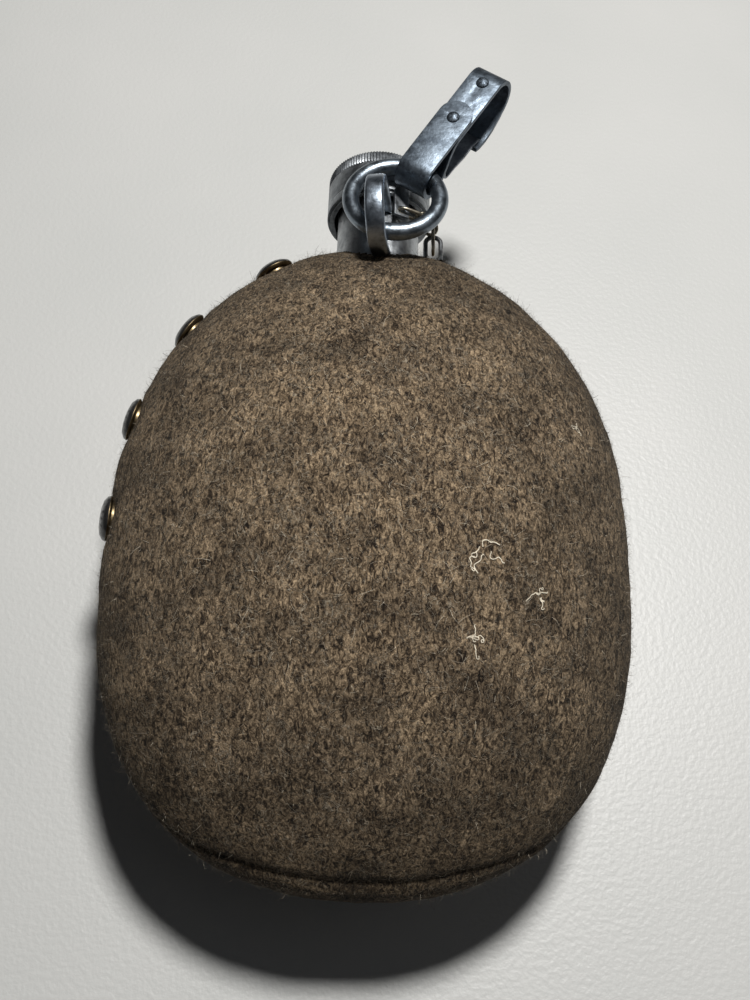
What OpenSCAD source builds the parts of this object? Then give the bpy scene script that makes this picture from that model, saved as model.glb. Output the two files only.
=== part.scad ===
// Felt-covered canteen with a screw cap, a strap loop, a ring and a snap hook.
// It lies on its back: +Z is up, +Y runs along the neck, and the seam of the cover is level.

/* [Body] */
// Width over the felt
body_w = 142; // [110:1:180]
// Length of the body below its widest place
body_low = 95.5; // [75:0.5:120]
// Length of the body above its widest place
body_high = 94.5; // [75:0.5:115]
// Rise of the front felt over the seam
front_rise = 37.4; // [28:0.2:46]
// Drop of the back felt below the seam, before its flat is cut
back_drop = 38.4; // [30:0.2:48]
// Height of the seam over the rest face
seam_z = 37; // [28:0.2:46]
// Roundness of the cross-section, where 2 is an ellipse
section_n = 2.15; // [2:0.05:2.8]

/* [Felt and flask walls] */
// Thickness of the felt
felt_t = 3.2; // [2.6:0.1:4]
// Thickness of the flap's felt where it lies over the underlap
flap_t = 1.7; // [1.2:0.1:2]
// Gap between the felt and the flask
felt_gap = 0.3; // [0.2:0.05:1]
// Wall of the aluminium flask
flask_wall = 1; // [0.8:0.1:1.6]

/* [Neck and cap] */
// Outer radius of the neck
neck_r = 12.7; // [11:0.1:14]
// Bore radius of the neck
neck_bore_r = 11.2; // [9:0.1:11.4]
// Height of the neck axis over the rest face
neck_z = 39.4; // [34:0.2:44]
// Length of neck over the flask's shoulder
neck_out = 29.8; // [28:0.2:40]
// Outer radius of the cap
cap_r = 16.2; // [15.8:0.1:19]
// Height of the cap over its lower lip
cap_h = 16.3; // [15:0.1:20]
// Number of ridges in the milled edge
cap_ridges = 110; // [60:1:130]
// Thread pitch
thread_pitch = 3; // [2.5:0.1:3.5]
// Turns of thread on the neck
thread_turns = 1.5; // [1:0.25:2]
// How far a thread ridge stands out
thread_h = 0.9; // [0.7:0.05:1]

/* [Ring and strap loop] */
// Mean radius of the ring
ring_r = 13.25; // [12:0.05:15]
// Radius of the ring's wire
ring_wire_r = 2.55; // [2:0.05:2.8]
// Width of the strap loop
strap_w = 5.6; // [5:0.1:6.6]
// Thickness of the strap loop
strap_t = 2.4; // [2:0.1:2.6]
// Radius of the strap loop's bend, to the middle of the strap
strap_r = 10.3; // [10:0.1:10.6]

/* [Snap hook] */
// Width of the hook's strip
hook_w = 10.6; // [8:0.1:11]
// Thickness of the hook's strip
hook_t = 1.4; // [1.1:0.1:1.5]
// Inner radius of the eye that holds the ring
eye_r = 4.4; // [4.3:0.05:4.6]
// Distance from the eye to the middle of the top bend
hook_reach = 35; // [33:0.5:42]
// Radius of the top bend, to the middle of the strip
hook_bend_r = 6.3; // [6:0.1:7.5]
// Thickness of the spring leaf
leaf_t = 0.8; // [0.5:0.05:0.9]

/* [Chain] */
// Radius of the links' wire
link_wire_r = 0.55; // [0.45:0.05:0.6]
// Half width of a link, to the middle of its wire
link_half_w = 1.9; // [1.8:0.05:2.1]
// Pitch of the plain links
link_pitch = 6; // [5.5:0.1:6.5]
// Pitch of the longer end link
end_link_pitch = 7.8; // [7.8:0.1:8.5]

/* [Press studs] */
// Radius of a stud's outer cap
snap_cap_r = 6.2; // [5:0.1:7]
// How far a stud's outer cap stands out of the felt
snap_cap_h = 2.1; // [1.8:0.1:2.6]
// Radius of a socket
snap_socket_r = 4.6; // [4.2:0.1:4.8]
// Radius of a stud's head
snap_stud_r = 2.5; // [2:0.1:2.6]

/* [Hidden] */
$fn = 64;

// Outline powers: below and above the widest place, for the width and for the thickness
low_w = [2.89, 2.22];
high_w = [2.32, 1.82];
low_b = [1.86, 1.82];
high_b = [1.91, 1.84];

flask_inset = felt_t + felt_gap;
neck_hole_r = neck_r + 0.6;
shoulder_y = body_high - flask_inset;
neck_top = shoulder_y + neck_out;
neck_in = 13;
fit_gap = 0.15;

// ---- body surfaces ----
function prof(u, pq) = pow(max(0, 1 - pow(min(1, u), pq[0])), 1 / pq[1]);
function sgn_pow(v, e) = sign(v) * pow(abs(v), e);
function end_y(t, s) = s < 0 ? -(body_low - t) : body_high - t;
// Half width and half thickness at a share s of the length, from -1 at the bottom to 1 at the neck
function half_w(s, t) = (body_w / 2 - t) * prof(abs(s), s < 0 ? low_w : high_w);
function half_b(s, t, up) = ((up ? front_rise : back_drop) - t) * prof(abs(s), s < 0 ? low_b : high_b);
// Centre height moves from the seam to the neck axis over the shoulder
function mid_z(s) = seam_z + (neck_z - seam_z) * pow(max(0, s), 6);
function body_point(s, a, t, up) =
    [half_w(s, t) * sgn_pow(cos(a), 2 / section_n), abs(s) * end_y(t, s),
     max(t, mid_z(s) + half_b(s, t, up) * sgn_pow(sin(a), 2 / section_n))];
function share(i, n) = sin(-90 + 180 * i / n);
function ring_points(s, t, a0, a1, m) =
    [for (j = [0 : m]) body_point(s, a0 + (a1 - a0) * j / m, t, a1 > 0)];
// Grid of quads between rows of equal length
function grid_faces(rows, cols, first, flip) =
    [for (i = [0 : rows - 2]) for (j = [0 : cols - 2])
        let (a = first + i * cols + j, b = a + 1, c = a + cols + 1, d = a + cols)
        each flip ? [[a, c, b], [a, d, c]] : [[a, b, c], [a, c, d]]];

// One half of a shell between two insets, closed along the seam
module half_shell(t_out, t_in, a0, a1, rows = 30, cols = 22) {
    n = rows + 1;
    m = cols + 1;
    shares = [for (i = [0 : rows]) share(i + 0.05, rows + 0.1)];
    outer = [for (s = shares) each ring_points(s, t_out, a0, a1, cols)];
    inner = [for (s = shares) each ring_points(s, t_in, a0, a1, cols)];
    k = n * m;
    side_a = [for (i = [0 : n - 2]) let (a = i * m, b = a + m) each [[a, b, b + k], [a, b + k, a + k]]];
    side_b = [for (i = [0 : n - 2]) let (a = i * m + cols, b = a + m)
        each [[b, a, a + k], [b, a + k, b + k]]];
    end_a = [for (a = [0 : m - 2]) each [[a + 1, a, a + k], [a + 1, a + k, a + 1 + k]]];
    end_b = [for (a = [(n - 1) * m : n * m - 2]) each [[a, a + 1, a + 1 + k], [a, a + 1 + k, a + k]]];
    polyhedron(concat(outer, inner),
        concat(grid_faces(n, m, 0, false), grid_faces(n, m, k, true), side_a, side_b, end_a, end_b));
}

// Wall of the flask, closed at both ends
module flask_wall_solid(rows = 28, cols = 44) {
    shares = [for (i = [0 : rows]) share(i + 0.06, rows + 0.12)];
    pts = [for (t = [flask_inset, flask_inset + flask_wall]) for (s = shares) for (j = [0 : cols - 1])
        body_point(s, 360 * j / cols, t, j <= cols / 2)];
    k = (rows + 1) * cols;
    function wrap(i, j, first) = first + i * cols + j % cols;
    sides = [for (side = [0, 1]) for (i = [0 : rows - 1]) for (j = [0 : cols - 1])
        let (f = side * k, a = wrap(i, j, f), b = wrap(i, j + 1, f),
            c = wrap(i + 1, j + 1, f), d = wrap(i + 1, j, f))
        each side == 1 ? [[a, c, b], [a, d, c]] : [[a, b, c], [a, c, d]]];
    top = rows * cols;
    low_ends = [[for (j = [cols - 1 : -1 : 0]) j], [for (j = [0 : cols - 1]) k + j]];
    top_ends = [[for (j = [0 : cols - 1]) top + j], [for (j = [cols - 1 : -1 : 0]) k + top + j]];
    polyhedron(pts, concat(sides, low_ends, top_ends));
}

// ---- neck frame: children stand with +Z along the neck, from the height y ----
module on_neck(y = 0) { translate([0, y, neck_z]) rotate([-90, 0, 0]) children(); }

// Helical ridge round +Z: root radius r0, crest radius r1, half height h at the root
module helix_ridge(r0, r1, z0, turns, h, steps = 28) {
    n = round(turns * steps);
    rows = [for (i = [0 : n]) let (a = 360 * i / steps, z = z0 + thread_pitch * i / steps,
            f = min(1, min(i, n - i) / 3 + 0.15), rc = r0 + (r1 - r0) * f)
        [for (p = [[r0, -h], [rc, -h / 2.4], [rc, h / 2.4], [r0, h]])
            [p[0] * cos(a), p[0] * sin(a), z + p[1] * (0.5 + f / 2)]]];
    turn = r1 > r0;
    walls = [for (i = [0 : n - 1]) for (j = [0 : 3])
        let (a = i * 4 + j, b = i * 4 + (j + 1) % 4, c = b + 4, d = a + 4)
        each turn ? [[a, b, c], [a, c, d]] : [[a, c, b], [a, d, c]]];
    first = turn ? [3, 2, 1, 0] : [0, 1, 2, 3];
    last = [for (v = turn ? [0, 1, 2, 3] : [3, 2, 1, 0]) n * 4 + v];
    polyhedron([for (r = rows) each r], concat(walls, [first], [last]));
}

module flask_shell() {
    color("silver") difference() {
        flask_wall_solid();
        on_neck(shoulder_y - 30) cylinder(r = neck_r + 0.02, h = 40, $fn = 96);
    }
}

module neck() {
    color("silver") on_neck(0) rotate_extrude($fn = 96) polygon([
        [neck_bore_r, shoulder_y - neck_in], [neck_r, shoulder_y - neck_in], [neck_r, neck_top - 1],
        [neck_r - 0.4, neck_top], [neck_bore_r + 0.3, neck_top], [neck_bore_r, neck_top - 0.4]]);
}

thread_y0 = neck_top - 1.6 - thread_turns * thread_pitch;
thread_half = thread_pitch * 0.2;
module neck_thread() {
    color("silver") on_neck(0)
        helix_ridge(neck_r / cos(180 / 28) + 0.01, neck_r + thread_h, thread_y0, thread_turns, thread_half);
}

// ---- cap ----
seal_t = 1.5;
cap_top_t = 1.5;
cap_top = neck_top + seal_t + cap_top_t;
cap_low = cap_top - cap_h;
lip_h = 0.7;
lip_r = cap_r - 0.9;
collar_h = 2.9;
collar_in_r = cap_r - 1.2;
collar_y = cap_low + lip_h + fit_gap;
skirt_y = collar_y + collar_h + fit_gap;
knurl_h = 4.4;
knurl_y = cap_top - knurl_h;
cap_bore_r = neck_r + thread_h + 0.35;
cap_hub_r = collar_in_r - fit_gap;
ridge_crest_r = neck_r + 0.3;

module cap_shell() {
    color("darkgray") on_neck(0) {
        rotate_extrude($fn = 96) polygon([
            [cap_bore_r, cap_low], [lip_r, cap_low], [lip_r, cap_low + lip_h], [cap_hub_r, cap_low + lip_h],
            [cap_hub_r, skirt_y], [cap_r, skirt_y], [cap_r, knurl_y - 0.25], [cap_r - 0.5, knurl_y - 0.2],
            [cap_r - 0.5, cap_top - 0.6], [cap_r - 1.1, cap_top], [cap_r - 3, cap_top],
            [cap_r - 3.6, cap_top - 0.3], [0, cap_top - 0.3], [0, cap_top - cap_top_t],
            [cap_bore_r, cap_top - cap_top_t]]);
        translate([0, 0, knurl_y]) linear_extrude(knurl_h - 0.75) difference() {
            polygon([for (i = [0 : 2 * cap_ridges - 1])
                let (a = 180 * i / cap_ridges, r = cap_r - (i % 2) * 0.35) [r * cos(a), r * sin(a)]]);
            circle(cap_r - 1.2, $fn = 90);
        }
    }
}

module cap_thread() {
    color("darkgray") on_neck(0)
        helix_ridge(cap_bore_r - 0.01, ridge_crest_r / cos(180 / 28), thread_y0 + thread_pitch / 2,
            thread_turns - 0.25, thread_half);
}

module cap_seal() {
    color("dimgray") on_neck(neck_top) rotate_extrude($fn = 96) square([cap_bore_r - 0.2, seal_t]);
}

// The ear's hole, on the collar's side over the neck
ear_turn = 24.5;
ear_t = 0.9;
ear_r = cap_r + 0.1 - ear_t / 2;
ear_hole_y = collar_y - 7.2;
ear_hole_r = 1.4;

module ear_frame() { on_neck(0) rotate([0, 0, ear_turn - 90]) children(); }

module swivel_collar() {
    color("gray") {
        on_neck(collar_y) rotate_extrude($fn = 96)
            polygon([[collar_in_r, 0], [cap_r, 0], [cap_r, collar_h], [collar_in_r, collar_h]]);
        difference() {
            ear_frame() translate([ear_r - ear_t / 2, -2.4, ear_hole_y - 2.3])
                cube([ear_t, 4.8, collar_y + collar_h - ear_hole_y + 2]);
            ear_frame() translate([cap_r - 2, 0, ear_hole_y]) rotate([0, 90, 0])
                cylinder(r = ear_hole_r, h = 5);
        }
    }
}

// ---- chain ----
// Link ends, from the ear's hole down the right of the neck
ear_hole = [ear_r * sin(ear_turn), ear_hole_y, neck_z + ear_r * cos(ear_turn)];
function unit(v) = v / norm(v);
chain_p0 = ear_hole;
chain_p1 = chain_p0 + link_pitch * unit([0.93, -0.06, -0.36]);
chain_p2 = chain_p1 + link_pitch * unit([0.75, -0.42, -0.5]);
chain_p3 = chain_p2 + end_link_pitch * [0, -1, 0];

// Oval link along +X from 0 to pitch, flat in the XY plane
module oval_link(pitch) {
    half = pitch / 2 + link_wire_r + 0.25 - link_half_w;
    translate([pitch / 2, 0, 0]) {
        for (s = [-1, 1]) translate([s * half, 0, 0]) rotate([0, 0, -90 * s])
            rotate_extrude(angle = 180, $fn = 32)
            translate([link_half_w, 0]) circle(link_wire_r, $fn = 20);
        for (s = [-1, 1]) translate([-half, s * link_half_w, 0]) rotate([0, 90, 0])
            cylinder(r = link_wire_r, h = 2 * half, $fn = 20);
    }
}
// Places a link from a to b, turned about its length
module link_between(a, b, turn) {
    d = b - a;
    translate(a) rotate([0, atan2(-d[2], norm([d[0], d[1]])), atan2(d[1], d[0])]) rotate([turn, 0, 0])
        oval_link(norm(d));
}
module chain_link_1() { color("darkkhaki") link_between(chain_p0, chain_p1, 100); }
module chain_link_2() { color("darkkhaki") link_between(chain_p1, chain_p2, 26); }
module chain_end_link() { color("darkkhaki") link_between(chain_p2, chain_p3, 96); }

lug_wire_r = 0.7;
lug_half_w = 2.3;
lug_bar_y = chain_p2[1] - 3 * link_wire_r - lug_wire_r - 0.25;
lug_foot_y = shoulder_y - 4.2;
module chain_lug() {
    color("gray") translate([chain_p2[0], 0, chain_p2[2]]) {
        translate([0, lug_bar_y - lug_half_w, 0]) rotate_extrude(angle = 180, $fn = 32)
            translate([lug_half_w, 0]) circle(lug_wire_r, $fn = 20);
        for (s = [-1, 1]) translate([s * lug_half_w, lug_bar_y - lug_half_w, 0]) rotate([90, 0, 0])
            cylinder(r = lug_wire_r, h = lug_bar_y - lug_half_w - lug_foot_y, $fn = 20);
    }
}

// ---- bent strips: a route in the plane, given a thickness ----
function arc_route(c, r, a0, a1, n) =
    [for (i = [0 : n]) let (a = a0 + (a1 - a0) * i / n) c + r * [cos(a), sin(a)]];
function normal_at(p, i) = let (d = unit(p[min(i + 1, len(p) - 1)] - p[max(i - 1, 0)])) [-d[1], d[0]];
module strip(route, t, w) {
    side = [for (i = [0 : len(route) - 1]) route[i] + normal_at(route, i) * t / 2];
    back = [for (i = [len(route) - 1 : -1 : 0]) route[i] - normal_at(route, i) * t / 2];
    translate([0, 0, -w / 2]) linear_extrude(w) polygon(concat(side, back));
}

// ---- strap loop: stands over the neck, its front leg on the shoulder ----
strap_x = 3.15;
strap_lean = -9;
strap_y = shoulder_y + 1.35;
strap_z = neck_z + neck_r + 9.9;
strap_foot = [shoulder_y - 5.2, neck_z + 10];
// Children lie in the loop's own upright plane, leaning about the neck
module strap_frame() {
    translate([strap_x, 0, neck_z]) rotate([0, strap_lean, 0]) translate([0, 0, -neck_z])
        children();
}
module strap_loop() {
    route = concat([strap_foot], [[strap_y - strap_r, strap_z]],
        arc_route([strap_y, strap_z], strap_r, 174, 6, 24),
        [[strap_y + strap_r, strap_z], [strap_y + strap_r, neck_z + neck_r - 1.5]]);
    color("lightsteelblue") difference() {
        strap_frame() rotate([90, 0, 90]) strip(route, strap_t, strap_w);
        on_neck(0) cylinder(r = neck_r + 0.02, h = neck_top, $fn = 96);
    }
}

// ---- ring: lies on the neck and the cap, through the strap loop ----
ring_c = [4.45, shoulder_y + 8.6, neck_z + 21.25];
ring_side_tilt = -2;
ring_end_tilt = -3.4;
module ring_frame() {
    translate(ring_c) rotate([0, ring_side_tilt, 0]) rotate([ring_end_tilt, 0, 0])
        children();
}
module ring() {
    color("slategray") ring_frame() rotate_extrude($fn = 72)
        translate([ring_r, 0]) circle(ring_wire_r, $fn = 32);
}

// ---- snap hook: its eye turns on the ring ----
eye_shift = 0.5;
hook_place = 55.5;
hook_lift = 12.7;
hook_twist = 1;
// Children lie with +X along the hook and +Y out of its riveted face, and +Z across the strip
module hook_frame() {
    ring_frame() rotate([0, 0, hook_place - 90]) translate([0, ring_r - eye_shift, 0])
        rotate([hook_lift, 0, 0])
        rotate([0, hook_twist, 0]) rotate([90, 0, 0]) rotate([0, 90, 0]) children();
}
eye_mid = eye_r + hook_t / 2;
shank_n = eye_mid - hook_t - 0.05;
return_n = shank_n - 2 * hook_bend_r;
hook_end_s = 24.5;
hook_route = concat(
    [[hook_end_s, eye_mid], [12, eye_mid]], arc_route([0, 0], eye_mid, 90, 262, 20),
    [[2.2, -4.6], [4.4, -3.3], [6.6, -1.2], [8.8, 1.1], [11, 2.8], [13.5, shank_n]],
    [[24, shank_n]], arc_route([hook_reach, shank_n - hook_bend_r], hook_bend_r, 90, -60, 18),
    [[hook_reach, return_n - 1], [hook_reach - 4, return_n - 2.6], [hook_reach - 8, return_n - 3.1],
     [hook_reach - 11, return_n - 2.7], [hook_reach - 13, return_n - 1.8]]);
rivet_s = [18.4, 34.2];
rivet_r = 2;

module hook_body() {
    color("dimgray") hook_frame() difference() {
        strip(hook_route, hook_t, hook_w);
        translate([hook_end_s - hook_w / 2, eye_mid - hook_t / 2 - 0.02, 0])
            rotate([-90, 0, 0]) difference() {
            translate([0, -hook_w, 0]) cube([hook_w, 2 * hook_w, 2 * hook_t]);
            translate([0, 0, -1]) cylinder(r = hook_w / 2, h = 2 * hook_t + 2);
        }
        for (s = rivet_s) translate([s, 0, 0]) rotate([-90, 0, 0])
            cylinder(r = rivet_r / 2 + 0.02, h = 20, $fn = 32);
    }
}
module hook_rivets() {
    color("dimgray") hook_frame() for (i = [0, 1]) {
        top = i == 0 ? eye_mid + hook_t / 2 : shank_n + hook_t / 2;
        low = shank_n - hook_t / 2 - leaf_t;
        translate([rivet_s[i], 0, 0]) rotate([-90, 0, 0]) {
            translate([0, 0, low - 0.6]) cylinder(r = rivet_r / 2, h = top - low + 0.6, $fn = 32);
            translate([0, 0, top]) rotate_extrude($fn = 32)
                polygon([[0, 0], [rivet_r, 0], [rivet_r * 0.85, 0.5], [rivet_r * 0.5, 0.9], [0, 1.05]]);
            translate([0, 0, low - 0.65]) cylinder(r = rivet_r * 0.8, h = 0.6, $fn = 32);
        }
    }
}
leaf_n = shank_n - hook_t / 2 - leaf_t / 2 - 0.05;
gate_turn_c = [8.2, -6.2];
gate_turn_r = 1.7;
module hook_spring() {
    color("gray") hook_frame() difference() {
        strip([[hook_reach, leaf_n], [16.4, leaf_n], [13.6, leaf_n - 0.8], [11.4, leaf_n - 2.1],
            [9.8, -1.6], [8.2, -3.2], [6.9, -4.8]], leaf_t, hook_w - 2);
        for (s = rivet_s) translate([s, 0, 0]) rotate([-90, 0, 0])
            cylinder(r = rivet_r / 2 + 0.02, h = 20, $fn = 32);
    }
}
module hook_gate() {
    color("gray") hook_frame() strip(concat(arc_route(gate_turn_c, gate_turn_r, 148, 262, 10),
        [[12, -8.2], [17, return_n - 0.3], [hook_reach - 14, return_n - 0.3],
            [hook_reach - 9.5, return_n - 1.3]]), leaf_t, hook_w - 2);
}

// ---- cover: two felt halves, and the studded opening on the upper left ----
flap_low = [-71, -14];
flap_high = [-20, 90];
flap_turn = atan2(flap_high[1] - flap_low[1], flap_high[0] - flap_low[0]);
fold_gap = 0.3;
// Everything on the outer side of the fold's upright plane, moved outward by g
module outside_fold(g) {
    translate([flap_low[0], flap_low[1], 0]) rotate([0, 0, flap_turn])
        translate([-100, g, -1]) cube([300, 100, 150]);
}
snap_z = seam_z + 7.1;
snap_tilt = 14;
// Places along the edge of the cover where the studs sit
snap_spots = [-1, 30, 60.5, 83.5];
function share_at(y) = y / (y < 0 ? body_low : body_high);
function edge_x(y) = let (s = share_at(y), f = (snap_z - mid_z(s)) / half_b(s, 0, true))
    -half_w(s, 0) * pow(1 - pow(f, section_n), 1 / section_n);
function edge_turn(y) = atan2(edge_x(y + 1) - edge_x(y - 1), 2);
// Children stand with +Z out of the felt, from the felt's outer face
module at_snaps() {
    for (y = snap_spots) translate([edge_x(y), y, snap_z]) rotate([0, 0, 180 - edge_turn(y)])
        rotate([0, 90 - snap_tilt, 0]) children();
}
// Holes in the felt for a socket, and the dimple under a cap
module snap_holes(cap_too) {
    at_snaps() {
        translate([0, 0, -6]) cylinder(r = snap_socket_r + 0.2, h = 12, $fn = 32);
        if (cap_too) translate([0, 0, -0.85]) cylinder(r = snap_cap_r + 0.2, h = 6, $fn = 32);
    }
}
// What the felt leaves open: the neck, the strap loop's front leg and the chain's lug
module felt_openings() {
    on_neck(shoulder_y - 30) cylinder(r = neck_hole_r, h = 60, $fn = 96);
    strap_frame() translate([-strap_w / 2 - 0.4, strap_y - strap_r - strap_t, neck_z])
        cube([strap_w + 0.8, 30, 60]);
    for (s = [-1, 1]) translate([chain_p2[0] + s * lug_half_w, shoulder_y - 8, chain_p2[2]])
        rotate([-90, 0, 0])
        cylinder(r = lug_wire_r + 0.25, h = 20, $fn = 20);
}
module cover_front() {
    color("rosybrown") difference() {
        half_shell(0, felt_t, 0, 180);
        outside_fold(-fold_gap / 2);
        felt_openings();
    }
}
module cover_back() {
    color("rosybrown") difference() {
        half_shell(0, felt_t, -180, 0);
        felt_openings();
    }
}
module cover_flap() {
    color("tan") difference() {
        intersection() {
            half_shell(0, flap_t, 0.8, 179.2);
            outside_fold(fold_gap / 2);
        }
        snap_holes(true);
        felt_openings();
    }
}
module cover_underlap() {
    color("rosybrown") difference() {
        intersection() {
            half_shell(flap_t + 0.2, felt_t, 0.8, 179.2);
            outside_fold(1.5);
            translate([-100, -50, 0]) cube([100, 200, seam_z + 18]);
        }
        snap_holes(false);
        felt_openings();
    }
}

// ---- press studs, measured inward from the felt's outer face ----
module snap_caps() {
    color("black") at_snaps() rotate_extrude($fn = 48) polygon([
        [0, -0.75], [snap_cap_r - 0.5, -0.75], [snap_cap_r, -0.2], [snap_cap_r - 0.3, 0.6],
        [snap_cap_r * 0.75, snap_cap_h * 0.72], [snap_cap_r * 0.45, snap_cap_h * 0.93], [0, snap_cap_h]]);
}
module snap_sockets() {
    color("gold") at_snaps() rotate_extrude($fn = 48) polygon([
        [0, -1.15], [0, -0.8], [snap_socket_r, -0.8], [snap_socket_r, -1.75], [snap_stud_r + 0.7, -1.75],
        [snap_stud_r + 0.7, -1.15]]);
}
module snap_studs() {
    color("gold") at_snaps() rotate_extrude($fn = 48) polygon([
        [0, -1.3], [snap_stud_r * 0.8, -1.3], [snap_stud_r, -1.6], [snap_stud_r - 0.3, -2.1],
        [snap_socket_r - 0.2, -2.1], [snap_socket_r - 0.2, -2.5], [0, -2.5]]);
}
module snap_eyelets() {
    color("gold") at_snaps() rotate_extrude($fn = 48) polygon([
        [0, -2.55], [snap_socket_r - 0.4, -2.55], [snap_socket_r - 0.4, -3.1], [0, -3.1]]);
}

flask_shell();
neck();
neck_thread();
strap_loop();
chain_lug();
cap_shell();
cap_thread();
cap_seal();
swivel_collar();
chain_link_1();
chain_link_2();
chain_end_link();
ring();
hook_body();
hook_rivets();
hook_spring();
hook_gate();
cover_front();
cover_back();
cover_underlap();
cover_flap();
snap_caps();
snap_sockets();
snap_studs();
snap_eyelets();
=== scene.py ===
import math
import bmesh
import bpy
import numpy as np
from mathutils import Matrix, Vector


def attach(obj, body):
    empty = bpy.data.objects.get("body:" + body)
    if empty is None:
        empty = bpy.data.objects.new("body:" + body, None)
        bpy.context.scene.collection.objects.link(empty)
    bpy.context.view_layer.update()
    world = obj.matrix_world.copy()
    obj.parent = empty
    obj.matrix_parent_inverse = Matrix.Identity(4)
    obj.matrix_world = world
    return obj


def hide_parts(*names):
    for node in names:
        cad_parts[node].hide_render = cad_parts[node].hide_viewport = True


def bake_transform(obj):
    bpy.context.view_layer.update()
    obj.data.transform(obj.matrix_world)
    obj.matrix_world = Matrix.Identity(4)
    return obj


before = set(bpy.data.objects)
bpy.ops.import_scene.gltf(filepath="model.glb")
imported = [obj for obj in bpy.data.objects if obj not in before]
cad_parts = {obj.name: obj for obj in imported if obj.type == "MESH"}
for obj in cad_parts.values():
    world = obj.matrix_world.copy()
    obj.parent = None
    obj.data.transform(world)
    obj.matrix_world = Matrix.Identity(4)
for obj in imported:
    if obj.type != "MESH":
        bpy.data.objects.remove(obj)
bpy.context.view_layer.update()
mm = 0.001
rng = np.random.default_rng(7)


def deselectAll():
    if bpy.context.object and bpy.context.object.mode != "OBJECT":
        bpy.ops.object.mode_set(mode="OBJECT")
    bpy.ops.object.select_all(action="DESELECT")


def pick(obj):
    deselectAll()
    obj.hide_viewport = False
    obj.select_set(True)
    bpy.context.view_layer.objects.active = obj


def applyModifiers(obj):
    pick(obj)
    for m in list(obj.modifiers):
        bpy.ops.object.modifier_apply(modifier=m.name)


def getPoints(obj):
    co = np.zeros(len(obj.data.vertices) * 3, np.float32)
    obj.data.vertices.foreach_get("co", co)
    return co.reshape(-1, 3).astype(float)


def setPoints(obj, pts):
    obj.data.vertices.foreach_set("co", np.asarray(pts, np.float32).ravel())
    obj.data.update()


def useMaterial(obj, *mats):
    obj.data.materials.clear()
    for m in mats:
        obj.data.materials.append(m)


studio = dict(camPlace=(-4.1, -126.6, 312.3), pitch=63.38, yaw=2.37, roll=4.38, lens=39.6,
              keyPower=9.6, keySize=0.15, keyPlace=(0.13, 0.30, 0.89), fillPower=0.10, worldLevel=0.028)


def makeCamera():
    p, y, r = (math.radians(studio[k]) for k in ("pitch", "yaw", "roll"))
    fwd = Vector((math.sin(y) * math.cos(p), math.cos(y) * math.cos(p), -math.sin(p)))
    right = fwd.cross(Vector((0, 0, 1))).normalized()
    up = right.cross(fwd)
    right, up = right * math.cos(r) + up * math.sin(r), -right * math.sin(r) + up * math.cos(r)
    bpy.ops.object.camera_add()
    cam = bpy.context.object
    cam.name = "studioCamera"
    turn = Matrix((right, up, -fwd)).transposed().to_4x4()
    cam.matrix_world = Matrix.Translation(Vector(studio["camPlace"]) * mm) @ turn
    cam.data.lens = studio["lens"]
    cam.data.sensor_width = 36
    cam.data.clip_start, cam.data.clip_end = 0.01, 20
    bpy.context.scene.camera = cam


def areaLight(name, place, aim, size, power, colour):
    bpy.ops.object.light_add(type="AREA", location=place)
    lamp = bpy.context.object
    lamp.name = name
    lamp.data.shape = "DISK"
    lamp.data.size = size
    lamp.data.energy = power
    lamp.data.color = colour
    lamp.rotation_mode = "QUATERNION"
    lamp.rotation_quaternion = (Vector(aim) - Vector(place)).to_track_quat("-Z", "Y")
    return lamp


def makeStudio():
    areaLight("keyLight", studio["keyPlace"], (0, 0, 0.03), studio["keySize"], studio["keyPower"],
              (1, 0.98, 0.95))
    areaLight("fillLight", (0.5, -0.1, 0.55), (0, 0, 0.03), 0.5, studio["fillPower"], (0.95, 0.97, 1))
    world = bpy.data.worlds.new("studioWorld")
    world.use_nodes = True
    back = world.node_tree.nodes["Background"]
    back.inputs["Color"].default_value = (0.93, 0.95, 1, 1)
    back.inputs["Strength"].default_value = studio["worldLevel"]
    bpy.context.scene.world = world
    bpy.context.scene.view_settings.view_transform = "Standard"
    deselectAll()
    bpy.ops.mesh.primitive_plane_add(size=6, location=(0, 0, 0))
    floor = bpy.context.object
    floor.name = "paleFloor"
    floor.data.materials.append(floorPaper())


def newMaterial(name):
    mat = bpy.data.materials.new(name)
    mat.use_nodes = True
    tree = mat.node_tree
    return mat, tree, tree.nodes["Principled BSDF"]


def objectPoint(tree, scale=(1, 1, 1), turn=(0, 0, 0)):
    where = tree.nodes.new("ShaderNodeTexCoord")
    move = tree.nodes.new("ShaderNodeMapping")
    move.inputs["Scale"].default_value = scale
    move.inputs["Rotation"].default_value = turn
    tree.links.new(where.outputs["Object"], move.inputs["Vector"])
    return move.outputs["Vector"]


def noise(tree, vector, scale, detail=4, rough=0.5, distort=0.0):
    n = tree.nodes.new("ShaderNodeTexNoise")
    n.inputs["Scale"].default_value = scale
    n.inputs["Detail"].default_value = detail
    n.inputs["Roughness"].default_value = rough
    n.inputs["Distortion"].default_value = distort
    tree.links.new(vector, n.inputs["Vector"])
    return n.outputs["Fac"]


def ramp(tree, fac, stops):
    r = tree.nodes.new("ShaderNodeValToRGB")
    while len(r.color_ramp.elements) < len(stops):
        r.color_ramp.elements.new(0.5)
    for e, (at, colour) in zip(r.color_ramp.elements, stops):
        e.position = at
        e.color = colour if len(colour) == 4 else (*colour, 1)
    tree.links.new(fac, r.inputs["Fac"])
    return r.outputs["Color"]


def mix(tree, fac, a, b, how="MIX"):
    m = tree.nodes.new("ShaderNodeMix")
    m.data_type = "RGBA"
    m.blend_type = how
    for value, socket in ((fac, m.inputs[0]), (a, m.inputs[6]), (b, m.inputs[7])):
        if hasattr(value, "links"):
            tree.links.new(value, socket)
        else:
            socket.default_value = value
    return m.outputs[2]


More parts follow.
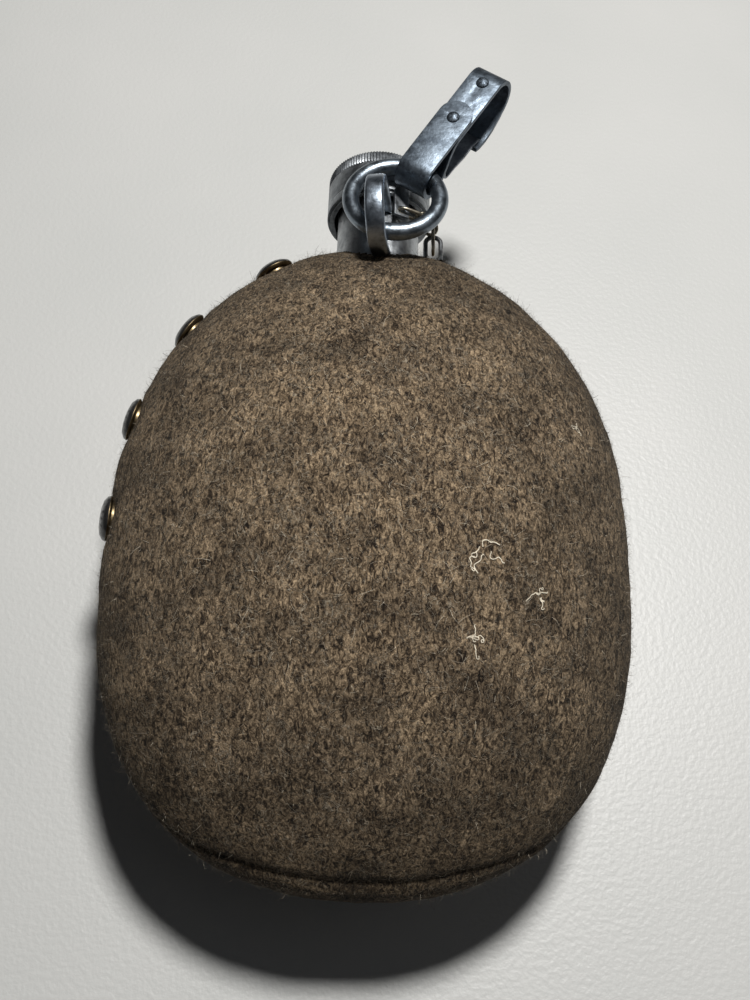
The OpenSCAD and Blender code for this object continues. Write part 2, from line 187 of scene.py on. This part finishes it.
def maths(tree, how, a, b=0.5):
    m = tree.nodes.new("ShaderNodeMath")
    m.operation = how
    for value, socket in ((a, m.inputs[0]), (b, m.inputs[1])):
        if hasattr(value, "links"):
            tree.links.new(value, socket)
        else:
            socket.default_value = value
    return m.outputs[0]


def bump(tree, height, shader, strength, distance, after=None):
    b = tree.nodes.new("ShaderNodeBump")
    b.inputs["Strength"].default_value = strength
    b.inputs["Distance"].default_value = distance
    tree.links.new(height, b.inputs["Height"])
    if after is not None:
        tree.links.new(after, b.inputs["Normal"])
    tree.links.new(b.outputs["Normal"], shader.inputs["Normal"])
    return b.outputs["Normal"]


def floorPaper():
    mat, tree, shader = newMaterial("floorPaper")
    at = objectPoint(tree)
    tone = noise(tree, at, 12, 5)
    colour = ramp(tree, tone, [(0.3, (0.575, 0.585, 0.575)), (0.7, (0.615, 0.62, 0.61))])
    tree.links.new(colour, shader.inputs["Base Color"])
    shader.inputs["Roughness"].default_value = 0.42
    bump(tree, noise(tree, at, 650, 3), shader, 0.5, 0.0003)
    return mat


# wool felt: mixed brown, grey and fawn fibres matted together
wool = dict(dark=(0.014, 0.011, 0.009), brown=(0.080, 0.060, 0.041), fawn=(0.35, 0.280, 0.200),
            pale=(0.46, 0.40, 0.31), bumpDepth=0.0009)


def hairLines(tree, at, scale, width, distort):
    # narrow bands where a noise passes its middle value look like loose curled fibres
    n = noise(tree, at, scale, 2.5, 0.55, distort)
    gap = maths(tree, "ABSOLUTE", maths(tree, "SUBTRACT", n, 0.5))
    return maths(tree, "SUBTRACT", 1.0, maths(tree, "MULTIPLY", gap, 1 / width))


def feltWool(name="feltWool"):
    mat, tree, shader = newMaterial(name)
    at = objectPoint(tree)
    cloud = noise(tree, at, 70, 4, 0.6)
    brushed = objectPoint(tree, (1.25, 0.6, 1.25))
    fleck = noise(tree, brushed, 760, 6, 0.68, 1.2)
    grain = noise(tree, at, 2300, 4, 0.7, 0.6)
    between = tuple(0.6 * (a + b) / 1.2 for a, b in zip(wool["brown"], wool["fawn"]))
    base = ramp(tree, fleck, [(0.385, wool["dark"]), (0.465, wool["brown"]), (0.55, between),
                              (0.64, wool["fawn"])])
    patch = ramp(tree, cloud, [(0.3, (0.55, 0.53, 0.51)), (0.7, (1.35, 1.31, 1.24))])
    base = mix(tree, 1.0, base, patch, "MULTIPLY")
    speck = ramp(tree, grain, [(0.36, (0.32, 0.31, 0.30)), (0.62, (1.9, 1.86, 1.8))])
    base = mix(tree, 0.75, base, speck, "MULTIPLY")
    lines = None
    for k, (scale, width, turn) in enumerate(((260, 0.011, 0.3), (340, 0.010, 1.4), (450, 0.012, 2.6))):
        point = objectPoint(tree, (1, 1, 1), (turn, turn * 0.7, turn * 1.9))
        line = hairLines(tree, point, scale, width, 0.8 + 0.4 * k)
        line = maths(tree, "MAXIMUM", line, 0.0)
        broken = noise(tree, point, 130 + 40 * k, 3)
        keep = maths(tree, "GREATER_THAN", broken, 0.50 + 0.03 * k)
        line = maths(tree, "MULTIPLY", line, keep)
        lines = line if lines is None else maths(tree, "MAXIMUM", lines, line)
    base = mix(tree, maths(tree, "MULTIPLY", lines, 0.8), base, (*wool["pale"], 1))
    darkPoint = objectPoint(tree, (1, 1, 1), (2.2, 0.4, 1.1))
    darkLine = maths(tree, "MAXIMUM", hairLines(tree, darkPoint, 300, 0.014, 1.5), 0.0)
    base = mix(tree, maths(tree, "MULTIPLY", darkLine, 0.7), base, (*wool["dark"], 1))
    # painted highlight and shade: the felt is painted paler on the front's crown, where the light falls, and
    # darker round the edge and seam, where it turns away into shade
    split = tree.nodes.new("ShaderNodeSeparateXYZ")
    tree.links.new(at, split.inputs["Vector"])
    level = maths(tree, "ADD", maths(tree, "MULTIPLY", split.outputs["Z"], 12.5),
                  maths(tree, "MULTIPLY", maths(tree, "SUBTRACT", cloud, 0.5), 0.16))
    # painted light by height: darkest near the seam and palest on the crown, as overhead light would give
    paintedCrownLightSideShade = ramp(tree, level, [(0.20, (0.68, 0.67, 0.66)), (0.44, (0.36, 0.35, 0.34)),
                              (0.58, (0.48, 0.47, 0.45)), (0.76, (0.74, 0.73, 0.72)),
                              (0.92, (1.02, 1.0, 0.97))])
    base = mix(tree, 1.0, base, paintedCrownLightSideShade, "MULTIPLY")
    tree.links.new(base, shader.inputs["Base Color"])
    shader.inputs["Roughness"].default_value = 0.95
    shader.inputs["Specular IOR Level"].default_value = 0.15
    shader.inputs["Sheen Weight"].default_value = 0.05
    shader.inputs["Sheen Roughness"].default_value = 0.55
    shader.inputs["Sheen Tint"].default_value = (0.9, 0.82, 0.7, 1)
    height = maths(tree, "ADD", maths(tree, "MULTIPLY", fleck, 0.8), maths(tree, "MULTIPLY", grain, 0.35))
    height = maths(tree, "ADD", height, maths(tree, "MULTIPLY", lines, 0.25))
    height = maths(tree, "ADD", height, maths(tree, "MULTIPLY", cloud, 1.2))
    bump(tree, height, shader, 0.9, wool["bumpDepth"])
    return mat


def looseFibre(name="looseFibre"):
    mat, tree, shader = newMaterial(name)
    tone = tree.nodes.new("ShaderNodeAttribute")
    tone.attribute_name = "fibreTone"
    colour = ramp(tree, tone.outputs["Fac"], [(0.0, (0.02, 0.016, 0.012)), (0.35, (0.12, 0.092, 0.065)),
                                              (0.75, (0.34, 0.28, 0.21)), (1.0, (0.80, 0.72, 0.57))])
    shade = ramp(tree, noise(tree, objectPoint(tree), 900, 2), [(0.3, (0.7,) * 3), (0.7, (1.2,) * 3)])
    tree.links.new(mix(tree, 1.0, colour, shade, "MULTIPLY"), shader.inputs["Base Color"])
    shader.inputs["Roughness"].default_value = 0.8
    return mat


def wornMetal(name, light, dark, rough, grime=0.35, scratch=0.25, grainScale=(1, 1, 1), coat=0.0,
              metallic=1.0):
    mat, tree, shader = newMaterial(name)
    at = objectPoint(tree)
    wear = noise(tree, at, 160, 6, 0.62, 0.4)
    spots = noise(tree, at, 900, 4, 0.6)
    tone = ramp(tree, wear, [(0.32, dark), (0.62, light)])
    spot = ramp(tree, spots, [(0.30, (1 - grime,) * 3), (0.52, (1, 1, 1))])
    tree.links.new(mix(tree, 1.0, tone, spot, "MULTIPLY"), shader.inputs["Base Color"])
    shader.inputs["Metallic"].default_value = metallic
    shine = ramp(tree, noise(tree, at, 420, 5, 0.6),
                 [(0.3, (rough * 0.75,) * 3), (0.7, (min(1, rough * 1.35),) * 3)])
    tree.links.new(shine, shader.inputs["Roughness"])
    if coat:
        shader.inputs["Coat Weight"].default_value = coat
        shader.inputs["Coat Roughness"].default_value = 0.18
    marks = noise(tree, objectPoint(tree, grainScale), 700, 3, 0.5, 0.3)
    bump(tree, maths(tree, "ADD", marks, maths(tree, "MULTIPLY", spots, 0.6)), shader, scratch, 0.0002)
    return mat


def rubberBlack():
    mat, tree, shader = newMaterial("sealRubber")
    tone = ramp(tree, noise(tree, objectPoint(tree), 500, 3),
                [(0.3, (0.02, 0.02, 0.02)), (0.7, (0.05, 0.048, 0.045))])
    tree.links.new(tone, shader.inputs["Base Color"])
    shader.inputs["Roughness"].default_value = 0.7
    return mat


makeCamera()
makeStudio()
print("studio made")

capAluminium = wornMetal("capAluminium", (0.38, 0.405, 0.43), (0.20, 0.215, 0.235), 0.44, 0.4, 0.4)
neckAluminium = wornMetal("neckAluminium", (0.46, 0.48, 0.50), (0.26, 0.28, 0.30), 0.36, 0.25, 0.3, (1, 6, 1))
loopSteel = wornMetal("loopSteel", (0.44, 0.50, 0.58), (0.26, 0.31, 0.37), 0.33, 0.3, 0.25)
ringSteel = wornMetal("ringSteel", (0.31, 0.36, 0.41), (0.17, 0.20, 0.24), 0.34, 0.3, 0.3)
hookSteel = wornMetal("hookSteel", (0.17, 0.205, 0.245), (0.085, 0.105, 0.13), 0.44, 0.4, 0.35)
springSteel = wornMetal("springSteel", (0.34, 0.37, 0.41), (0.16, 0.18, 0.21), 0.38, 0.35, 0.3)
lugSteel = wornMetal("lugSteel", (0.24, 0.25, 0.26), (0.11, 0.115, 0.12), 0.4, 0.4, 0.3)
chainBrass = wornMetal("chainBrass", (0.50, 0.46, 0.37), (0.24, 0.21, 0.16), 0.36, 0.4, 0.3)
studBrass = wornMetal("studBrass", (0.30, 0.23, 0.13), (0.12, 0.09, 0.055), 0.40, 0.4, 0.3)
studBlack = wornMetal("studBlack", (0.022, 0.021, 0.020), (0.010, 0.010, 0.010), 0.34, 0.3, 0.3, coat=0.5,
                      metallic=0.0)
sealRubber = rubberBlack()
woolMat = feltWool()
fibreMat = looseFibre()
print("materials made")


# the felt body's outline, in millimetres
body = dict(w=142.0, low=95.5, high=94.5, front=37.4, back=38.4, seam=37.0, power=2.15, neckZ=39.4,
            neckHole=13.3)
lowW, highW, lowB, highB = (2.89, 2.22), (2.32, 1.82), (1.86, 1.82), (1.91, 1.84)
pressStud = dict(places=(-1.0, 30.0, 60.5, 83.5), rise=7.1, lean=14, brassBelow=-0.05)
studZ = body["seam"] + pressStud["rise"]


def prof(u, pq):
    return np.maximum(0, 1 - np.minimum(1, u) ** pq[0]) ** (1 / pq[1])


def halfW(s, t):
    u = np.abs(s)
    return (body["w"] / 2 - t) * np.where(s < 0, prof(u, lowW), prof(u, highW))


def halfB(s, t, up):
    u = np.abs(s)
    return (np.where(up, body["front"], body["back"]) - t) * np.where(s < 0, prof(u, lowB), prof(u, highB))


def midZ(s):
    return body["seam"] + (body["neckZ"] - body["seam"]) * np.maximum(0, s) ** 6


def feltPoint(s, a, t):
    c, q, e = np.cos(a), np.sin(a), 2 / body["power"]
    x = halfW(s, t) * np.sign(c) * np.abs(c) ** e
    y = np.abs(s) * np.where(s < 0, -(body["low"] - t), body["high"] - t)
    z = midZ(s) + halfB(s, t, q > 0) * np.sign(q) * np.abs(q) ** e
    return np.stack([x, y, np.maximum(z, t)], -1)


def edgeX(y):
    s = y / (body["low"] if y < 0 else body["high"])
    f = (studZ - midZ(np.array(s))) / halfB(np.array(s), 0, True)
    return float(-halfW(np.array(s), 0) * (1 - f ** body["power"]) ** (1 / body["power"]))


studs = []  # centre and outward direction of each press stud
for y in pressStud["places"]:
    turn = math.pi - math.atan2(edgeX(y + 1) - edgeX(y - 1), 2)
    tilt = math.radians(90 - pressStud["lean"])
    studs.append((np.array([edgeX(y), y, studZ]),
                  np.array([math.cos(turn) * math.sin(tilt), math.sin(turn) * math.sin(tilt),
                            math.cos(tilt)])))


def wobble(p, seed, size):
    # smooth uneven surface from a few sine waves
    r = np.random.default_rng(seed)
    total = np.zeros(len(p))
    for _ in range(14):
        k = r.normal(size=3)
        k *= 2 * math.pi / (size * r.uniform(0.6, 1.8)) / np.linalg.norm(k)
        total += np.sin(p @ k + r.uniform(0, 6.28))
    return total / 14 ** 0.5


relief = dict(seamDip=0.9, seamWide=1.3, endRise=7.5, studDip=0.55, lumps=0.16, ripples=0.06)


def feltDip(s, a):
    # how far the felt lies inside its plain outline
    p = feltPoint(s, a, 0.0)
    rise = np.abs(p[:, 2] - midZ(s))
    drop = np.where(p[:, 2] > midZ(s), relief["endRise"] * np.clip((-s - 0.68) / 0.25, 0, 1) ** 2, 0)
    near = np.exp(-((rise - drop) / relief["seamWide"]) ** 2) * np.where(s < 0.9, 1.0, 0.4)
    dip = relief["seamDip"] * near + 0.18
    dip += relief["lumps"] * wobble(p, 3, 16) + relief["ripples"] * wobble(p, 5, 5)
    for centre, _ in studs:
        d = np.linalg.norm(p - centre, axis=1)
        dip += relief["studDip"] * np.clip((9.2 - d) / 3.0, 0, 1) ** 2
    return dip


def feltShell(name, up, inner, thick, cut=None):
    # a sphere with its poles along the neck, halved and shaped to the canteen
    deselectAll()
    bpy.ops.mesh.primitive_uv_sphere_add(segments=256, ring_count=180, radius=1, rotation=(math.pi / 2, 0, 0))
    obj = bpy.context.object
    obj.name = name
    bpy.ops.object.transform_apply(location=False, rotation=True, scale=True)
    bm = bmesh.new()
    bm.from_mesh(obj.data)
    gone = [f for f in bm.faces if (f.calc_center_median().z > 0) != up]
    bmesh.ops.delete(bm, geom=gone, context="FACES")
    bm.to_mesh(obj.data)
    bm.free()
    p = getPoints(obj)
    s = np.clip(p[:, 1], -0.9995, 0.9995)
    a = np.arctan2(np.where(np.abs(p[:, 2]) < 1e-6, 0, p[:, 2]), p[:, 0])
    a = np.where(np.abs(p[:, 2]) < 1e-6, np.where(p[:, 0] >= 0, 1e-5, math.pi - 1e-5) * (1 if up else -1), a)
    dip = feltDip(s, a) if inner == 0 else np.zeros(len(s))
    setPoints(obj, feltPoint(s, a, inner + np.maximum(dip, 0)) * mm)
    trimNeck(obj)
    pick(obj)
    wall = obj.modifiers.new("wall", "SOLIDIFY")
    wall.thickness = thick * mm
    wall.offset = -1
    wall.use_even_offset = False
    applyModifiers(obj)
    bpy.ops.object.shade_smooth()
    useMaterial(obj, woolMat)
    return obj


def trimNeck(obj):
    hole = body["neckHole"] * mm
    bm = bmesh.new()
    bm.from_mesh(obj.data)
    axis = Vector((0, 0, body["neckZ"] * mm))

    def away(v):
        return math.hypot(v.co.x, v.co.z - axis.z)

    # drop what lies over the neck and round off what is left to the hole
    gone = [v for v in bm.verts if v.co.y > 0.05 and away(v) < hole - 0.0004]
    bmesh.ops.delete(bm, geom=gone, context="VERTS")
    for v in bm.verts:
        if v.is_boundary and v.co.y > 0.05 and away(v) < hole + 0.0025 and away(v) > 0:
            k = hole / away(v)
            if abs(v.co.z - axis.z) > 0.0026:
                v.co.x *= k
                v.co.z = axis.z + (v.co.z - axis.z) * k
    bm.to_mesh(obj.data)
    bm.free()


def bendAtFold(obj):
    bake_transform(obj)


feltFront = feltShell("feltFront", True, 0, 1.7)
feltUnder = feltShell("feltUnder", True, 1.95, 1.25)
feltBack = feltShell("feltBack", False, 0, 3.1)
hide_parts("cover_front", "cover_flap")
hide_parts("cover_underlap")
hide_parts("cover_back")
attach(feltUnder, "flask")
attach(feltBack, "flask")
bendAtFold(feltFront)
print("felt shells made")


# loose fibres standing off the felt
fuzz = dict(front=30000, back=9000, longest=4.6, width=0.065, lift=0.5)


def fibreMesh(name, pts, faces, tone):
    # flat ribbons in millimetres, with a tone from dark to pale at each point
    mesh = bpy.data.meshes.new(name)
    mesh.from_pydata((pts * mm).tolist(), [], faces)
    obj = bpy.data.objects.new(name, mesh)
    bpy.context.collection.objects.link(obj)
    mark = mesh.attributes.new("fibreTone", "FLOAT", "POINT")
    mark.data.foreach_set("value", tone.astype(np.float32))
    useMaterial(obj, fibreMat)
    return obj


def fuzzCoat(name, up, count):
    s = np.clip(rng.uniform(-1, 1, count), -0.985, 0.985)
    a = rng.uniform(0.01, math.pi - 0.01, count) * (1 if up else -1)
    edge = rng.random(count) < 0.22  # more of them along the outline
    a = np.where(edge, np.where(rng.random(count) < 0.5, 0.04, math.pi - 0.04) * (1 if up else -1)
                 + rng.normal(0, 0.16, count), a)
    a = np.clip(a, 0.005, math.pi - 0.005) if up else np.clip(a, -math.pi + 0.005, -0.005)
    base = feltPoint(s, a, np.maximum(feltDip(s, a), 0) + 0.05)
    keep = (base[:, 1] < 60) | (np.hypot(base[:, 0], base[:, 2] - body["neckZ"]) > 14.5)
    for centre, _ in studs:
        keep &= np.linalg.norm(base - centre, axis=1) > 6.9
    keep &= base[:, 2] > 1.0
    s, a, base = s[keep], a[keep], base[keep]
    n = len(s)
    out = feltPoint(s, a, 0.0) - feltPoint(s, a, 1.5)
    out /= np.maximum(np.linalg.norm(out, axis=1), 1e-6)[:, None]
    way = rng.normal(size=(n, 3))
    way -= out * np.sum(way * out, axis=1)[:, None]
    way /= np.linalg.norm(way, axis=1)[:, None]
    side = np.cross(out, way)
    length = rng.gamma(2.6, 0.68, n).clip(0.8, fuzz["longest"])
    lift = np.abs(rng.normal(0, fuzz["lift"], n)) * length * 0.42 + 0.05
    curl = rng.normal(0, 0.35, n) * length
    width = fuzz["width"] * rng.uniform(0.6, 1.3, n)
    verts, tones = [], []
    for k, f in enumerate((0.0, 0.35, 0.7, 1.0)):
        height = lift * math.sin(f * 2.2) * 1.1 + 0.02
        mid = base + way * (length * f)[:, None] + out * height[:, None] + side * (curl * f * f)[:, None]
        w = side * (width * (1 - 0.6 * f) / 2)[:, None]
        verts += [mid - w, mid + w]
    pts = np.stack(verts, 1).reshape(-1, 3)
    faces = [(c, c + 1, c + 3, c + 2) for i in range(n) for c in (8 * i, 8 * i + 2, 8 * i + 4)]
    tone = np.repeat(np.clip(rng.normal(0.55, 0.28, n), 0, 1), 8)
    pts[:, 2] = np.maximum(pts[:, 2], 0.05)
    return fibreMesh(name, pts, faces, tone)


fuzzFront = fuzzCoat("fuzzFront", True, fuzz["front"])
fuzzBack = fuzzCoat("fuzzBack", False, fuzz["back"])
bendAtFold(fuzzFront)
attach(fuzzBack, "flask")
# a few pale curls of lint caught in the felt, each at a place on the front
lint = dict(spots=((-0.188, 1.189, 4.6), (-0.288, 0.983, 3.0), (-0.421, 1.227, 3.4), (0.236, 0.715, 2.6)),
            strands=5, steps=16, width=0.24)


def lintCurls(name):
    draw = np.random.default_rng(21)
    pts, faces = [], []
    for s0, a0, size in lint["spots"]:
        for _ in range(lint["strands"]):
            heading, turnRate = draw.uniform(0, 6.28), 0.0
            u, v = draw.normal(0, size * 0.22, 2)
            line = []
            for _ in range(lint["steps"]):
                turnRate = 0.6 * turnRate + draw.normal(0, 0.5)
                heading += turnRate
                u += math.cos(heading) * size / 18
                v += math.sin(heading) * size / 11
                line.append((u, v))
            line = np.array(line)
            s = s0 + line[:, 1] / body["low"]
            a = a0 + line[:, 0] / 40
            base = feltPoint(s, a, np.maximum(feltDip(s, a), 0) - 0.22)
            ahead = np.gradient(base, axis=0)
            out = feltPoint(s, a, 0.0) - feltPoint(s, a, 1.5)
            side = np.cross(ahead, out)
            side /= np.maximum(np.linalg.norm(side, axis=1), 1e-6)[:, None]
            first = len(pts)
            for b, w in zip(base, side):
                pts += [b - w * lint["width"] / 2, b + w * lint["width"] / 2]
            faces += [(first + 2 * k, first + 2 * k + 1, first + 2 * k + 3, first + 2 * k + 2)
                      for k in range(lint["steps"] - 1)]
    obj = fibreMesh(name, np.array(pts), faces, np.full(len(pts), 1.0))
    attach(obj, "flask")
    return obj


lintPale = lintCurls("lintPale")
print("fibres made")


# hardware: merged and softened copies of the solids
def softCopy(node, name, mat, bodyName, bevel=0.15, angle=32, segments=3):
    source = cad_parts[node]
    deselectAll()
    obj = source.copy()
    obj.data = source.data.copy()
    obj.name = name
    for key in list(obj.keys()):
        del obj[key]
    obj.parent = None
    obj.matrix_world = Matrix.Identity(4)
    bpy.context.collection.objects.link(obj)
    pick(obj)
    bpy.ops.object.mode_set(mode="EDIT")
    bpy.ops.mesh.select_all(action="SELECT")
    bpy.ops.mesh.remove_doubles(threshold=0.000004)
    bpy.ops.mesh.dissolve_limited(angle_limit=math.radians(1.0))
    bpy.ops.mesh.select_all(action="DESELECT")
    bpy.ops.object.mode_set(mode="OBJECT")
    if bevel:
        edge = obj.modifiers.new("edge", "BEVEL")
        edge.width = bevel * mm
        edge.segments = segments
        edge.limit_method = "ANGLE"
        edge.angle_limit = math.radians(38)
        edge.use_clamp_overlap = bevel < 0.7
        edge.harden_normals = False
        applyModifiers(obj)
    pick(obj)
    bpy.ops.object.shade_smooth_by_angle(angle=math.radians(angle))
    useMaterial(obj, mat)
    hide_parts(node)
    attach(obj, bodyName)
    return obj


hardware = [
    ("neck", "neckTube", neckAluminium, "flask", "flask", 0.12),
    ("neck_thread", "neckThread", neckAluminium, "flask", "flask", 0.05),
    ("strap_loop", "strapLoop", loopSteel, "flask", "loop", 0.95),
    ("chain_lug", "chainLug", lugSteel, "flask", "steel", 0),
    ("cap_shell", "capShell", capAluminium, "cap", "cap", 0.08),
    ("cap_thread", "capThread", capAluminium, "cap", "cap", 0.05),
    ("cap_seal", "capSeal", sealRubber, "cap", "seal", 0.1),
    ("swivel_collar", "swivelCollar", capAluminium, "collar", "cap", 0.12),
    ("chain_link_1", "chainLinkA", chainBrass, "collar", "chain", 0),
    ("chain_link_2", "chainLinkB", chainBrass, "collar", "chain", 0),
    ("chain_end_link", "chainEndLink", chainBrass, "collar", "chain", 0),
    ("ring", "carryRing", ringSteel, "ring", "ring", 0),
    ("hook_body", "hookBody", hookSteel, "hook", "hook", 0.3),
    ("hook_rivets", "hookRivets", hookSteel, "hook", "hook", 0.06),
    ("hook_spring", "hookSpring", springSteel, "hook", "spring", 0.12),
    ("hook_gate", "hookGate", springSteel, "gate", "spring", 0.12),
    ("snap_sockets", "snapSockets", studBrass, "flap", "brass", 0.06),
    ("snap_studs", "snapStuds", studBrass, "flask", "brass", 0.06),
    ("snap_eyelets", "snapEyelets", studBrass, "flask", "brass", 0.06)]
made = {}
for node, name, mat, bodyName, slotName, bevel in hardware:
    made[name] = softCopy(node, name, mat, bodyName, bevel)
print("hardware made")


def paintStuds():
    # brass shows where the black wears off at the rim
    caps = softCopy("snap_caps", "snapCaps", studBlack, "flap", 0.12)
    useMaterial(caps, studBlack, studBrass)
    for f in caps.data.polygons:
        c = np.array(f.center) / mm
        centre, out = min(studs, key=lambda q: np.linalg.norm(q[0] - c))
        f.material_index = 1 if (c - centre) @ out < pressStud["brassBelow"] else 0
    return caps


snapCaps = paintStuds()
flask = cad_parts["flask_shell"]
useMaterial(flask, neckAluminium)
print("press studs made")
